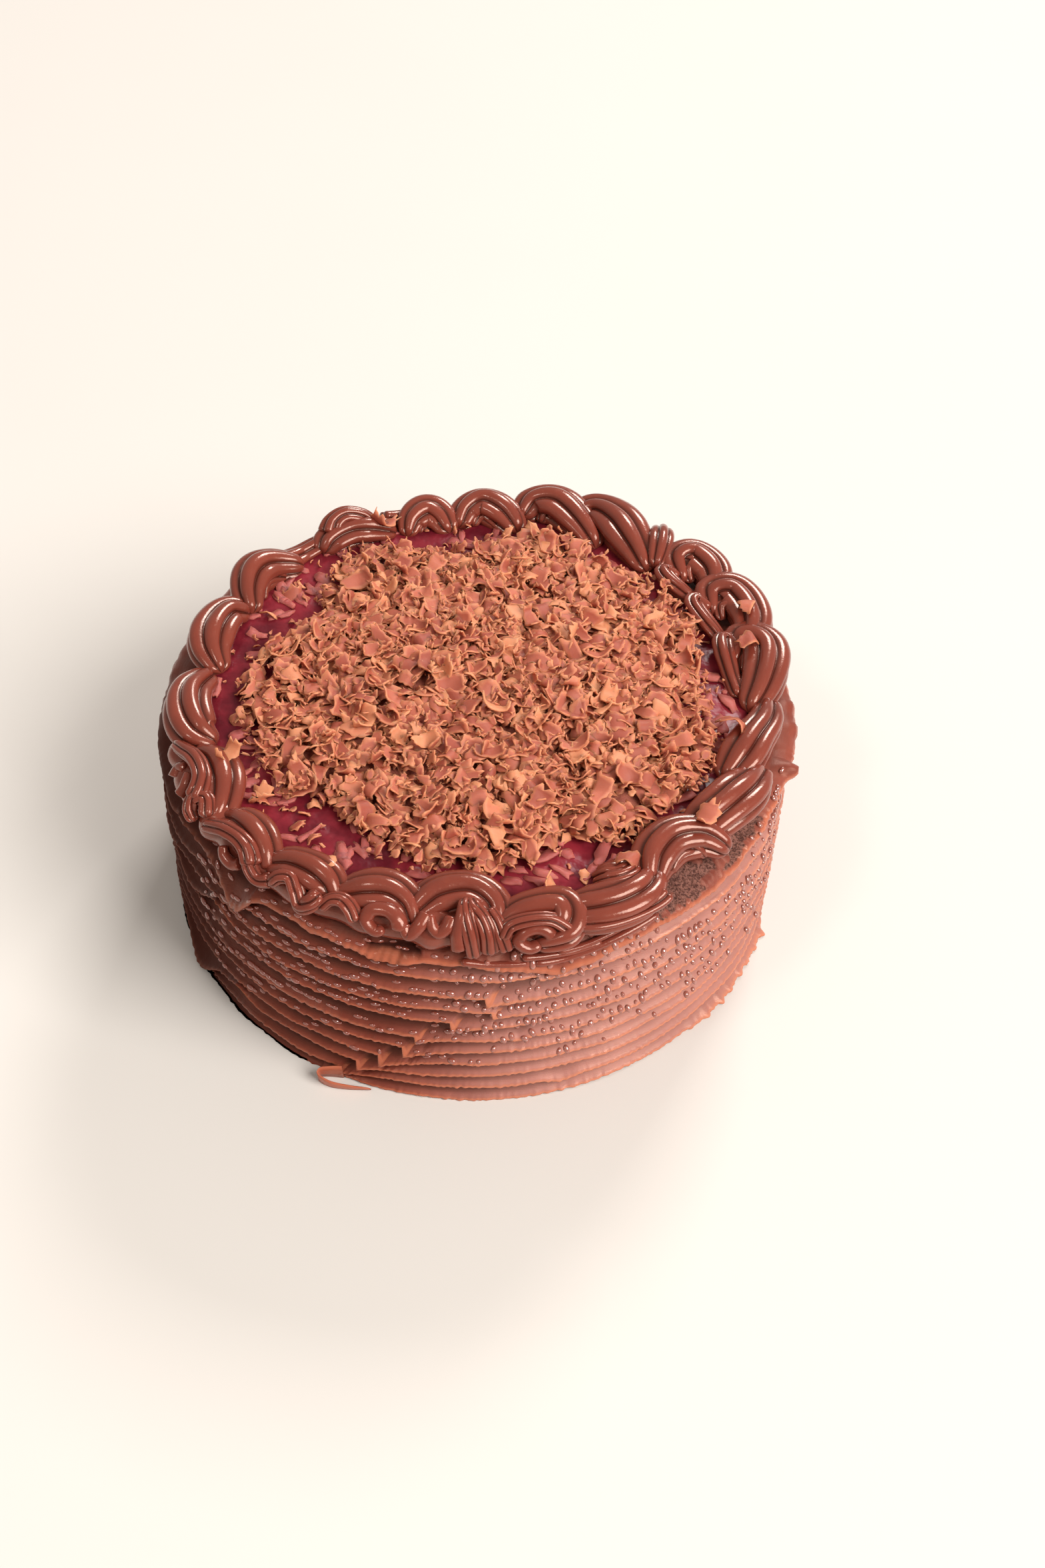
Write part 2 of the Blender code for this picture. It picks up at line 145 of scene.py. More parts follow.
# Thin folds of cream on and beside the strokes, as (thickness, then points as azimuth, radius and height in
# millimetres above the flat top)
FOLDS = (
    (0.4, (245, 95, 7), (244, 98, 5), (242.5, 98.6, 3), (241, 97, 5.5),
        (239, 95, 7.5), (237, 96, 7), (235.5, 98, 4)),
    (0.34, (235.5, 97, 4.5), (233.3, 98.4, 3), (231, 97.4, 4.5), (229, 95, 7)),
    (0.42, (231.2, 97, 5), (230, 95.5, 6.5), (228.4, 94.6, 8), (226, 94.3, 8.5),
        (223, 95, 8), (220.3, 96, 6), (218, 97, 4)),
    (0.26, (228.5, 97.5, 3), (227, 98.6, 1.5), (225, 98.6, 2.5), (224, 97.5, 4.5)),
    (0.36, (217.5, 95.5, 5), (215.5, 93.5, 7), (214, 93.5, 7.5),
        (213, 96, 6.5), (213.8, 98, 4), (215.5, 98.3, 2)),
    (0.42, (213, 96, 6), (212, 93.5, 8), (210, 91.2, 9), (207, 90.3, 9),
        (204, 90.8, 8.5), (201, 92.5, 7), (198, 94, 5)),
    (0.28, (209, 98, 2.5), (208.5, 95.5, 5), (207, 93.2, 7)),
    (0.28, (204.5, 97, 2), (203.5, 95, 4), (205, 93.6, 6)),
    (0.3, (259.5, 97.5, 3.5), (259.3, 95.6, 6), (257.3, 94, 7.5), (254.6, 94.6, 7),
        (254, 97, 4.5), (255.8, 98.3, 2.5), (257.2, 97.4, 3.5)),
    (0.34, (252.5, 97.5, 3.5), (251, 95.5, 5.5), (249, 94.6, 7), (247, 95.5, 6.5), (245.6, 97.8, 4)),
    (0.26, (268.3, 93, 7.5), (267.6, 95.6, 6), (266.3, 96.8, 4.5), (265, 95.5, 6), (264.4, 93, 7.5)),
    (0.3, (264, 92.5, 7), (263, 95.6, 5.5), (261.4, 97.8, 3), (260.4, 96, 5)),
    (0.34, (275, 99.4, -1), (274.6, 97.2, 4.5), (273.6, 94.2, 8), (272, 91.2, 9.6), (271.4, 88.6, 9.4)),
    (0.34, (272.4, 99.8, -2), (271.8, 97.6, 4), (271, 94.4, 8.4), (270.6, 91.2, 10), (270.8, 88.6, 9.4)),
    (0.3, (269.8, 99.4, 0), (269.4, 96.8, 5), (270, 93.8, 8.5), (270.2, 90.8, 10)),
    (0.34, (277.8, 99.2, 0), (277, 97.2, 4), (276, 94.2, 7), (274.6, 91.2, 9)),
    (0.3, (285, 99.2, 2), (284.4, 97.6, 4.5), (282.5, 96.6, 5.5), (280.3, 97.3, 5),
        (279.4, 98.8, 3), (281, 99.8, 1), (283, 99.2, 1.5)),
    (0.36, (288.4, 99, 2), (287.4, 97.6, 5), (284.9, 95.8, 7.5),
        (281.3, 95.4, 8), (278, 96.2, 7), (276.6, 98.2, 4)),
    (0.18, (282, 98.6, -8), (287, 98.4, -8.6), (293, 98.4, -7), (299, 98.2, -5.2), (305, 97.8, -3.8)),
    (0.14, (286, 98, -5.4), (291, 97.9, -5), (297, 97.4, -3.6), (302, 96.9, -2.4)),
    (0.16, (280, 98.4, -5.2), (284, 98.2, -6), (289, 98, -6.6), (294, 98, -5.8)),
    (0.15, (270, 99.2, -5), (274, 98.9, -6.4), (278, 98.7, -7.2), (281, 98.6, -7.6)),
    (0.42, (306, 97.6, 4.5), (304, 98.6, 4), (300.5, 98.8, 3.5),
        (296, 98.6, 3.5), (292, 98, 4), (289, 96.5, 4)),
    (0.36, (304.5, 85, 4), (303, 87, 6), (300.5, 87.4, 6.5), (298, 86.4, 6), (296, 84.5, 3)),
    (0.36, (305, 83, 3), (303.2, 84.4, 5), (300.7, 84.6, 5), (298.7, 83, 4.5), (297, 81.6, 2)),
    (0.3, (303.6, 80.6, 2), (302, 81.6, 3.6), (300, 81.4, 3.6), (298.6, 80, 2)),
    (0.5, (127.5, 85, 6), (125.5, 87, 8.5), (122.5, 87.5, 9.5), (119, 86, 8), (117, 84, 6)),
    (0.62, (141.5, 85.4, 3.5), (138, 86.2, 2.4), (134.5, 86.5, 1.8), (131, 86.2, 2.4), (128, 85.2, 3.5)),
    (0.58, (114, 85.6, 3.2), (111, 86.2, 2.2), (108, 86.4, 1.8), (105, 86, 2.2), (102, 85.2, 3.2)),
    (0.46, (28, 83.5, 4), (31, 81, 6), (29, 79.5, 6), (24, 80, 5), (19, 82, 3)),
    (0.5, (14, 84.5, 4), (17, 81.5, 6), (13, 80, 6), (7, 80.5, 4), (1, 82, 3)),
    (0.46, (40, 83.5, 4), (43, 81, 6), (40, 79.5, 6), (36, 80.5, 5), (33, 82.5, 3)),
)
ROPE_CRESTS = 6
CREST_OVERLAP = 1.05
CREST_PLACES = (-1.0, -0.93, -0.8, -0.6, -0.33, 0.0, 0.33, 0.6, 0.8, 0.93)
ROPE_STATIONS = 54
# The smooth cream that the strokes lie on, as (radius of the ring, half width, height of its middle)
BED = (0.0912, 0.0062, 0.0765)

# The heap of shavings
HEAP_CENTRE = Vector((0.003, 0.001, 0.0))
HEAP_FLOOR = CAKE_HEIGHT + JELLY_DEPTH + 2 * GAP
HEAP_HEIGHT = 0.0075
HEAP_RADIUS = 0.0750
# Bites in its outline, where the jelly shows, as (azimuth and width in degrees, depth)
HEAP_BITES = (
    (232, 11, 0.009), (291, 9, 0.010), (154, 15, 0.013),
    (101, 17, 0.012), (54, 12, 0.006), (4, 20, 0.008),
)
# The kinds of shaving, from the least to the greatest length, width and radius of curl. The cells are those of
# the mesh along and across, ragged is a share of the size, and tilt the most degrees
Shaving = namedtuple("Shaving", "length width curl cells thickness ragged tilt")
CURLED = Shaving((0.0055, 0.0115), (0.0038, 0.0070), (0.0030, 0.0120), (6, 4), 0.0004, 0.22, 36)
LARGE = Shaving((0.0070, 0.0125), (0.0048, 0.0075), (0.0038, 0.0085), (9, 5), 0.0005, 0.15, 30)
SMALLER = Shaving((0.0028, 0.0058), (0.0018, 0.0038), (0.0020, 0.0090), (4, 3), 0.0004, 0.30, 55)
BROKEN = Shaving((0.0012, 0.0032), (0.0007, 0.0018), (0.0012, 0.0040), (3, 2), 0.0003, 0.38, 70)
FALLEN = Shaving((0.0080, 0.0125), (0.0048, 0.0075), (0.0034, 0.0065), (8, 5), 0.0004, 0.26, 34)
SUNK = Shaving((0.0045, 0.0095), (0.0022, 0.0042), (0.0120, 0.0300), (4, 2), 0.0008, 0.16, 5)
SUNK_LEVEL = CAKE_HEIGHT + JELLY_DEPTH + 0.0006
# Azimuths round which shavings lie on the jelly, and the share of them at each
JELLY_PATCHES = (222.0, 145.0, 100.0, 292.0, 358.0)
JELLY_SHARES = (0.34, 0.22, 0.12, 0.12, 0.20)
# Shavings that fell on the border and the jelly, as (azimuth in degrees, radius and height in millimetres)
STRAYS = (
    (12.6, 87, 88.5), (23.5, 93, 87), (350, 80.8, 85.5), (321.7, 88.5, 87), (303.9, 84.3, 85),
    (287.2, 83.9, 81.5), (242.3, 84.6, 84), (206.2, 80.8, 84), (115.1, 80.6, 83), (147, 73.8, 79.4),
    (218, 77.4, 79.6), (193, 72.8, 80), (272, 74, 80.5),
)

# The loop of cream at the foot of the seam, as (azimuth in degrees, radius in millimetres)
PEELED_FLAP = (
    (248.5, 99.2), (246.5, 100.4), (244.8, 102.0), (245.0, 103.6),
    (247.4, 103.9), (250.5, 102.4), (254.0, 100.3),
)


def smoothstep(x):
    x = np.clip(x, 0.0, 1.0)
    return x * x * (3 - 2 * x)


def ripple(turns, seed, low, high, waves=6):
    """A wandering line round the cake, about -1 to 1: sines with low to high whole waves in a turn."""
    rng = np.random.default_rng(seed)
    counts = rng.integers(low, high + 1, waves)
    starts = rng.uniform(0, 2 * math.pi, waves)
    a = np.radians(turns)
    return sum(np.sin(n * a + s) for n, s in zip(counts, starts)) / math.sqrt(2.0 * waves)


def cloud(points, scale, seed=0.0):
    """Smooth noise from -1 to 1 at each of the points, whose lumps are about 1 / scale across."""
    flat = points.reshape(-1, 3) * scale + seed
    made = np.array([noise.noise(p) for p in flat.tolist()])
    return made.reshape(points.shape[:-1])


def bearing_gap(azimuth, middle):
    """Degrees from middle, from -180 to 180."""
    return (azimuth - middle + 180.0) % 360.0 - 180.0


def bump_at(azimuth, middle, half_width):
    """1 at middle and 0 beyond half_width on either side."""
    return smoothstep(1.0 - np.abs(bearing_gap(azimuth, middle)) / half_width)


def polar(radius, turn, height):
    """Points from a radius, an angle in radians and a height."""
    return np.stack(np.broadcast_arrays(radius * np.cos(turn), radius * np.sin(turn), height), axis=-1)


def turned(profile, columns):
    """A grid of points from an outline of (radius, height) that is turned about Z."""
    turn = np.linspace(0, 2 * math.pi, columns, endpoint=False)
    return np.array([polar(radius, turn, height) for radius, height in profile])


def grid_faces(rows, columns, closed=False, first=0):
    """Quads between the points of a grid that is listed row by row."""
    r = np.arange(rows - 1)[:, None]
    c = np.arange(columns if closed else columns - 1)[None, :]
    after = (c + 1) % columns
    row, above = r * columns, (r + 1) * columns
    return np.stack([row + c, row + after, above + after, above + c], axis=-1).reshape(-1, 4) + first


def make_piece(name, points, quads, look, **attributes):
    """A smooth shaded mesh object from points and quads, with each attribute's value at every point."""
    mesh = bpy.data.meshes.new(name)
    corners = quads.ravel()
    mesh.vertices.add(len(points))
    mesh.vertices.foreach_set("co", points.astype(np.float32).ravel())
    mesh.loops.add(len(corners))
    mesh.loops.foreach_set("vertex_index", corners.astype(np.int32))
    mesh.polygons.add(len(quads))
    mesh.polygons.foreach_set("loop_start", (np.arange(len(quads)) * 4).astype(np.int32))
    mesh.polygons.foreach_set("use_smooth", np.ones(len(quads), dtype=bool))
    mesh.update(calc_edges=True)
    mesh.validate()
    for key, values in attributes.items():
        layer = mesh.attributes.new(key, "FLOAT", "POINT")
        layer.data.foreach_set("value", values.astype(np.float32).ravel())
    made = bpy.data.objects.new(name, mesh)
    bpy.context.scene.collection.objects.link(made)
    mesh.materials.append(look)
    return made


def grid_piece(name, grid, look, **attributes):
    """A piece from a grid of points whose rows close on themselves."""
    rows, columns, _ = grid.shape
    return make_piece(name, grid.reshape(-1, 3), grid_faces(rows, columns, closed=True), look, **attributes)


# Materials


class Finish:
    """A node material: a Principled shader and short ways to add and join nodes."""

    def __init__(self, name, roughness, **sockets):
        self.material = bpy.data.materials.new(name)
        self.material.use_nodes = True
        self.tree = self.material.node_tree
        self.shader = self.tree.nodes["Principled BSDF"]
        self.shader.inputs["Roughness"].default_value = roughness
        for key, value in sockets.items():
            self.shader.inputs[key.replace("_", " ")].default_value = value
        self.place = self.node("ShaderNodeNewGeometry").outputs["Position"]

    def node(self, kind, **settings):
        made = self.tree.nodes.new(kind)
        for key, value in settings.items():
            setattr(made, key, value)
        return made

    def join(self, source, target):
        self.tree.links.new(source, target)

    def attribute(self, name):
        return self.node("ShaderNodeAttribute", attribute_name=name).outputs["Fac"]

    def noise(self, scale, detail=3.0, rough=0.5, stretch=(1, 1, 1)):
        """Noise with lumps about 1 / scale metres across, drawn out along an axis by stretch."""
        mapping = self.node("ShaderNodeMapping")
        mapping.inputs["Scale"].default_value = [1 / s for s in stretch]
        self.join(self.place, mapping.inputs["Vector"])
        made = self.node("ShaderNodeTexNoise")
        made.inputs["Scale"].default_value = scale
        made.inputs["Detail"].default_value = detail
        made.inputs["Roughness"].default_value = rough
        self.join(mapping.outputs["Vector"], made.inputs["Vector"])
        return made.outputs["Fac"]

    def spread(self, value, low, high, to_low=0.0, to_high=1.0):
        made = self.node("ShaderNodeMapRange", clamp=True, interpolation_type="SMOOTHSTEP")
        limits = {"From Min": low, "From Max": high, "To Min": to_low, "To Max": to_high}
        for key, number in limits.items():
            made.inputs[key].default_value = number
        self.join(value, made.inputs["Value"])
        return made.outputs["Result"]

    def total(self, first, second):
        made = self.node("ShaderNodeMath", operation="ADD", use_clamp=True)
        self.join(first, made.inputs[0])
        self.join(second, made.inputs[1])
        return made.outputs["Value"]

    def blend(self, share, first, second):
        """A colour between first and second, each a colour or a socket."""
        made = self.node("ShaderNodeMix", data_type="RGBA")
        self.join(share, made.inputs["Factor"])
        for key, value in (("A", first), ("B", second)):
            socket = [s for s in made.inputs if s.name == key and s.type == "RGBA"][0]
            if isinstance(value, tuple):
                socket.default_value = (*value, 1.0)
            else:
                self.join(value, socket)
        return [s for s in made.outputs if s.type == "RGBA"][0]

    def colour(self, value):
        self.join(value, self.shader.inputs["Base Color"])
        return self

    def roughness(self, value):
        self.join(value, self.shader.inputs["Roughness"])
        return self

    def bump(self, heights):
        """Bumps one over the other, from (value, depth in metres)."""
        last = None
        for value, depth in heights:
            made = self.node("ShaderNodeBump")
            made.inputs["Strength"].default_value = 1.0
            made.inputs["Distance"].default_value = depth
            self.join(value, made.inputs["Height"])
            if last is not None:
                self.join(last, made.inputs["Normal"])
            last = made.outputs["Normal"]
        self.join(last, self.shader.inputs["Normal"])
        return self


CREAM = (0.250, 0.058, 0.036)
CREAM_DARK = (0.175, 0.034, 0.021)
# CREAM_SHADE is painted shade: under the lips, on the boards' upper parts, over the far left side, in the slit
# and in the border's valleys
CREAM_SHADE = (0.034, 0.006, 0.004)
# CREAM_SHEEN is a painted sheen: the paler reflection on the lit right side of the wall
CREAM_SHEEN = (0.570, 0.285, 0.240)
# CREAM_EDGE_HIGHLIGHT is a painted highlight along the lips' thin edges; CREAM_LIT is the brighter painted
# light on those edges on the lit right side and on the ragged foot
CREAM_EDGE_HIGHLIGHT = (0.560, 0.160, 0.084)
CREAM_LIT = (0.680, 0.235, 0.095)
# DROPLET_SHEEN is a painted sheen that lightens the droplets on the lit right side
DROPLET_SHEEN = (0.320, 0.100, 0.070)
CREAM_ROPE = (0.205, 0.040, 0.024)
WARM = (1.0, 0.66, 0.50, 1.0)  # the tint of the cream's highlights
SPONGE = (0.240, 0.105, 0.080)
SPONGE_DARK = (0.065, 0.026, 0.021)


def cream_finish(name, roughness, **sockets):
    """What the coat's and the border's cream share."""
    look = Finish(name, roughness, Subsurface_Weight=0.10, Subsurface_Scale=0.002, **sockets)
    look.shader.inputs["Subsurface Radius"].default_value = (1.0, 0.35, 0.15)
    look.shader.inputs["Specular Tint"].default_value = WARM
    return look


def coat_finish():
    look = cream_finish("combed_cream", 0.36, Specular_IOR_Level=0.32)
    cloudy = look.spread(look.noise(60, 4, 0.6), 0.3, 0.7)
    cream = look.blend(cloudy, CREAM_DARK, CREAM)
    # Painted sheen: the wall turns paler on its lit right side
    sheen = look.blend(look.spread(look.attribute("pale"), 0.0, 1.0, 0.0, 0.8), cream, CREAM_SHEEN)
    # Painted shade: the cream darkens towards CREAM_SHADE where the coat lies deep in the shade
    shaded = look.blend(look.spread(look.attribute("deep"), 0.0, 1.0, 0.0, 0.94), sheen, CREAM_SHADE)
    # Painted highlight on the lips' edges, brighter on the lit right side
    rim = look.blend(look.attribute("pale"), CREAM_EDGE_HIGHLIGHT, CREAM_LIT)
    edge = look.blend(look.spread(look.attribute("edge"), 0.2, 1.0, 0.0, 0.7), shaded, rim)
    crumbs = look.blend(look.spread(look.noise(1300, 4, 0.7), 0.40, 0.60), SPONGE_DARK, SPONGE)
    bare = look.spread(look.attribute("bare"), 0.35, 0.65)
    look.colour(look.blend(bare, edge, crumbs))
    streaks = look.noise(900, 3, 0.6, stretch=(4, 4, 0.35))
    wetness = look.spread(look.attribute("edge"), 0.0, 0.6, 0.42, 0.18)
    dry = look.spread(look.attribute("bare"), 0.3, 0.7, 0.0, 0.6)
    shade = look.spread(look.attribute("deep"), 0.5, 1.0, 0.0, 0.5)
    look.roughness(look.total(look.total(wetness, dry), shade))
    return look.bump(((streaks, 0.00010), (look.noise(2600, 2, 0.5), 0.00004))).material


def border_finish():
    look = cream_finish("piped_cream", 0.25, Specular_IOR_Level=0.50, Coat_Weight=0.30, Coat_Roughness=0.09)
    cloudy = look.spread(look.noise(90, 3, 0.5), 0.3, 0.7)
    cream = look.blend(cloudy, CREAM_DARK, CREAM_ROPE)
    # Painted shade in the valleys between the crests
    valleys = look.spread(look.attribute("deep"), 0.0, 1.0, 0.0, 0.72)
    look.colour(look.blend(valleys, cream, CREAM_SHADE))
    look.roughness(look.spread(look.noise(500, 3, 0.6), 0.35, 0.65, 0.13, 0.24))
    return look.bump(((look.noise(1200, 3, 0.6), 0.00006),)).material


def droplet_finish():
    look = Finish("droplets", 0.08, Specular_IOR_Level=0.9, Coat_Weight=0.8, Coat_Roughness=0.04)
    # Painted sheen: droplets on the lit right side are lighter
    look.colour(look.blend(look.attribute("pale"), CREAM, DROPLET_SHEEN))
    return look.material


def jelly_finish():
    look = Finish("red_jelly", 0.28, Specular_IOR_Level=0.18)
    cloudy = look.spread(look.noise(70, 4, 0.6), 0.32, 0.68)
    look.colour(look.blend(cloudy, (0.092, 0.006, 0.012), (0.225, 0.018, 0.028)))
    return look.bump(((look.noise(140, 3, 0.5), 0.0006),)).material


def shavings_finish(name, dark, light, edge):
    """Shaved chocolate from dark to light by each flake's tone, tan at its torn edges."""
    look = Finish(name, 0.55, Specular_IOR_Level=0.3, Subsurface_Weight=0.35, Subsurface_Scale=0.0018)
    look.shader.inputs["Subsurface Radius"].default_value = (1.0, 0.5, 0.25)
    tone = look.blend(look.attribute("tone"), dark, light)
    tan = look.blend(look.spread(look.attribute("tone"), 0.70, 0.88, 0.0, 0.8), tone, edge)
    look.colour(look.blend(look.attribute("edge"), tan, edge))
    return look.bump(((look.noise(1400, 3, 0.6), 0.00008),)).material


def plain_finish(name, colour, second, roughness, scale):
    look = Finish(name, roughness)
    look.colour(look.blend(look.spread(look.noise(scale, 4, 0.6), 0.3, 0.7), colour, second))
    return look.bump(((look.noise(scale * 8, 3, 0.6), 0.0002),)).material


# The combed wall


def coat_columns():
    """Azimuths, closer together where the front is."""
    return np.concatenate([np.arange(-168.0, -8.0, 0.28), np.arange(-8.0, 192.0, 0.95)])


def side_surface(level):
    """Radius and height of the smooth covered cake and its outward direction, from how far up the wall, over
    the rounded edge and in over the top a point lies."""
    turn = np.clip((level - WALL_TOP) / SHOULDER, 0.0, math.pi / 2)
    inwards = np.maximum(level - WALL_TOP - SHOULDER * math.pi / 2, 0.0)
    radius = FLAT_RADIUS + SHOULDER * np.cos(turn) - inwards
    height = np.minimum(level, WALL_TOP) + SHOULDER * np.sin(turn)
    return radius, height, np.cos(turn), np.sin(turn)


def lip_line(k, azimuth):
    """Height of lip k in metres at each azimuth."""
    right, left, seam, dip = LIPS[k]
    after = bearing_gap(azimuth, seam)
    beyond = np.where(after >= 0, after, after + 360)
    share = smoothstep((beyond - 60) / 220)  # from the right-hand height to the left-hand one, round the back
    line = right + (left - right) * share
    near = (after >= 0) & (after < 60)
    line = line - dip * np.exp(-beyond / FLAP_REACH) * near
    for lip, middle, half_width, change in KINKS:
        if lip == k:
            line = line + change * bump_at(azimuth, middle, 1.4 * half_width)
    line = line + 0.35 * ripple(azimuth, 100 + k, 3, 11) + 0.16 * ripple(azimuth, 200 + k, 14, 40)
    return line / 1000


def scallops(k, azimuth):
    """The small drips along a lip's edge."""
    left = bump_at(azimuth, 232.0, 48.0)
    wide = np.clip(ripple(azimuth, 300 + k, 110, 190, 8), -0.3, 1.4)
    fine = ripple(azimuth, 320 + k, 220, 420, 8)
    sag = k == len(LIPS)
    strength = 0.35 + 0.65 * (k in DRIPPING_LIPS) - 0.35 * sag * bump_at(azimuth, 257.0, 14.0)
    return -0.00060 * strength * left * wide - 0.00020 * fine * (not sag)


def all_lips(azimuth):
    """Every lip's height and that of the sag's edge above them, none of which crosses its neighbour."""
    lines = [lip_line(k, azimuth) for k in range(len(LIPS))]
    bearings, levels = zip(*SAG)
    sag = np.interp(azimuth % 360, bearings, levels) + 0.5 * ripple(azimuth, 71, 20, 70)
    lines.append(sag / 1000)
    for k in range(len(lines) - 2, -1, -1):
        lines[k] = np.minimum(lines[k], lines[k + 1] - LEAST_BOARD)
    return lines


def flare(k, azimuth):
    """How far a lip stands out beyond its usual depth, in metres."""
    out = 0.0002 * ripple(azimuth, 400 + k, 90, 300, 10) + 0.0003 * ripple(azimuth, 420 + k, 5, 30)
    if k < len(LIPS):
        _, _, seam, dip = LIPS[k]
        after = bearing_gap(azimuth, seam)
        near = np.where((after >= 0) & (after < 40), np.exp(-np.maximum(after, 0.0) / 3.0), 0.0)
        out = out + 0.00022 * dip * near
    else:
        out = out + 0.0018 * bump_at(azimuth, 227.5, 7.0) + 0.0012 * bump_at(azimuth, 286.0, 18.0)
    for lip, middle, half_width, change in KINKS:
        if lip == k:
            out = out + 0.0002 * abs(change) * bump_at(azimuth, middle, half_width * 1.6)
    return out


def board_rows(azimuth):
    """The coat's rows from the foot to the top, each as (how far up, how far out, how much a lip's edge with
    its painted highlight, how much painted shade, how much painted sheen and light on the lit right side, how
    many degrees it leans)."""
    lips = all_lips(azimuth)
    lips.append(np.full_like(azimuth, BOARDS_END))
    depth = LIP_DEPTH * (1.0 + 0.15 * ripple(azimuth, 11, 3, 12))
    left = bump_at(azimuth, 225.0, 84.0)
    far_left = bump_at(azimuth, 200.0, 62.0)
    right = smoothstep((azimuth % 360 - 246.0) / 42.0) * smoothstep((372.0 - azimuth % 360) / 40.0)
    rows = []
    for k in range(len(lips) - 1):
        low, high = lips[k], lips[k + 1]
        tooth = scallops(k, azimuth)
        stand = flare(k, azimuth)
        _, _, seam, dip = LIPS[min(k, len(LIPS) - 1)]
        after = bearing_gap(azimuth, seam)
        brink = ((after >= 0) & (after < 0.6) & (dip > 1)).astype(float)
        slant = SEAM_SLANT * bump_at(azimuth, seam + 1.0, 10.0) * (dip > 1)
        top = k == len(lips) - 2
        for share, drop, edge, deep in BOARD:
            if top and share > 0.5:
                drop, deep = -0.45, 0.0
            near_lip = max(0.0, 1.0 - abs(share) / 0.3) * (drop > -0.6)
            level = low + share * (high - low) + tooth * (share < 0.15)
            out = drop * depth + stand * near_lip
            # Lip edges and the seam's torn end take a painted highlight, dimmer on the far left, away from the
            # key light
            edge = np.maximum(edge * (0.9 - 0.5 * far_left), 0.8 * brink * (share < 0.8) * (drop > -0.6))
            # Painted shade, stronger on the left, and laid over the whole far left side, which faces away from
            # the key light
            deep = np.maximum(deep * (0.45 + 0.55 * left), 0.92 * far_left)
            # The share of painted light, sheen on the boards and lit colour on the lip edges, on the right
            # side that faces the key light
            pale = right * (0.15 if top else 0.62)
            rows.append((np.maximum(level, 0.0), out, edge, deep, pale, slant * max(share, 0.0)))
    flat = np.zeros_like(azimuth)
    for radius in (0.086, 0.080, 0.074):
        level = flat + WALL_TOP + SHOULDER * math.pi / 2 + FLAT_RADIUS - radius
        rows.append((level, flat, flat, flat, flat, flat))
    return rows


def waviness(azimuth, level, around):
    """A slow waviness everywhere, and smears and folds of cream under the border, in metres."""
    band = smoothstep((level - 0.0655) / 0.005)
    smears = 0.0007 * cloud(around * (1, 1, 3.0), 90, 9.0) + 0.0003 * cloud(around, 400, 2.0)
    folds = 0.0014 * bump_at(azimuth, 214.0, 34.0) * cloud(around * (1, 1, 4.5), 130, 14.0)
    lumps = 0.0018 * bump_at(azimuth, 285.0, 34.0) * cloud(around * (1, 1, 2.2), 210, 15.0)
    return 0.0004 * cloud(around, 60, 3.0) + band * (smears + folds + lumps)


def torn_share(azimuth, level, around):
    """Where the cream is torn off the shoulder at the right, so that the sponge shows, from 0 to 1."""
    climb = 0.00010 * np.clip(bearing_gap(azimuth, 308.0), -4.0, 26.0)
    floor = 0.0684 + climb + 0.0010 * ripple(azimuth, 75, 20, 80)
    reach = smoothstep((17.0 - np.abs(bearing_gap(azimuth, 320.0))) / 4.0)
    ragged = smoothstep(1.45 + 3.4 * cloud(around * (1, 1, 2.0), 170, 5.0))
    return reach * smoothstep((level - floor) / 0.0012) * ragged


def slit_shares(azimuth, level):
    """A slit under the border at the front left and its rounded lower rim, each from 0 to 1."""
    along = bearing_gap(azimuth, 258.5) / 5.4
    middle = 0.0706 + 0.0012 * along
    slit = smoothstep((1.0 - along**2 - ((level - middle) / 0.0024) ** 2) * 3.0)
    rim = np.exp(-(((level - middle + 0.0030) / 0.0014) ** 2)) * smoothstep(1.3 - np.abs(along))
    return slit, rim


def pushed_out(azimuth, level):
    """Cream pushed out over the edge at the right, with ragged tips, in metres."""
    bulge = smoothstep((16.0 - np.abs(bearing_gap(azimuth, 358.0))) / 6.0)
    tips = np.clip(ripple(azimuth, 77, 30, 70, 8), 0.0, 1.0)
    rise = np.exp(-(((level - 0.0715) / 0.0032) ** 2))
    return bulge * rise * (0.0020 + 0.0028 * tips)


def build_coat(look):
    azimuth = coat_columns()
    level, drop, edge, deep, pale, lean = (np.array(rows) for rows in zip(*board_rows(azimuth)))
    azimuth = azimuth + lean
    radius, height, out, up = side_surface(level)
    a = np.radians(azimuth)
    around = polar(CAKE_RADIUS, a, level)
    torn = torn_share(azimuth, level, around)
    slit, rim = slit_shares(azimuth, level)
    drop = drop + waviness(azimuth, level, around) + pushed_out(azimuth, level)
    drop = drop - 0.0010 * torn + 0.0022 * torn * cloud(around, 900, 1.0)
    drop = drop - 0.0034 * slit + 0.0010 * rim

    # A ragged foot at the right of the front
    foot = smoothstep((17.0 - np.abs(bearing_gap(azimuth, 331.0))) / 6.0) * np.exp(-level / 0.0024)
    drop = drop + foot * (0.0014 + 0.0030 * np.clip(ripple(azimuth, 78, 40, 110, 8), 0.0, 1.0))

    points = polar(radius + drop * out, a, np.maximum(height + drop * up, 0.0))
    # The ragged foot takes the lip edges' painted highlight, a painted glow
    edge = np.maximum(edge, 0.9 * foot)
    # Painted shade inside the slit
    deep = np.maximum(deep, slit)
    bare = np.clip(torn, 0.0, 1.0)
    made = grid_piece("combed_cream", points, look, edge=edge, bare=bare, deep=deep, pale=pale)
    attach(made, "root")
    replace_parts(made, "cake_body")
    return points


# The border


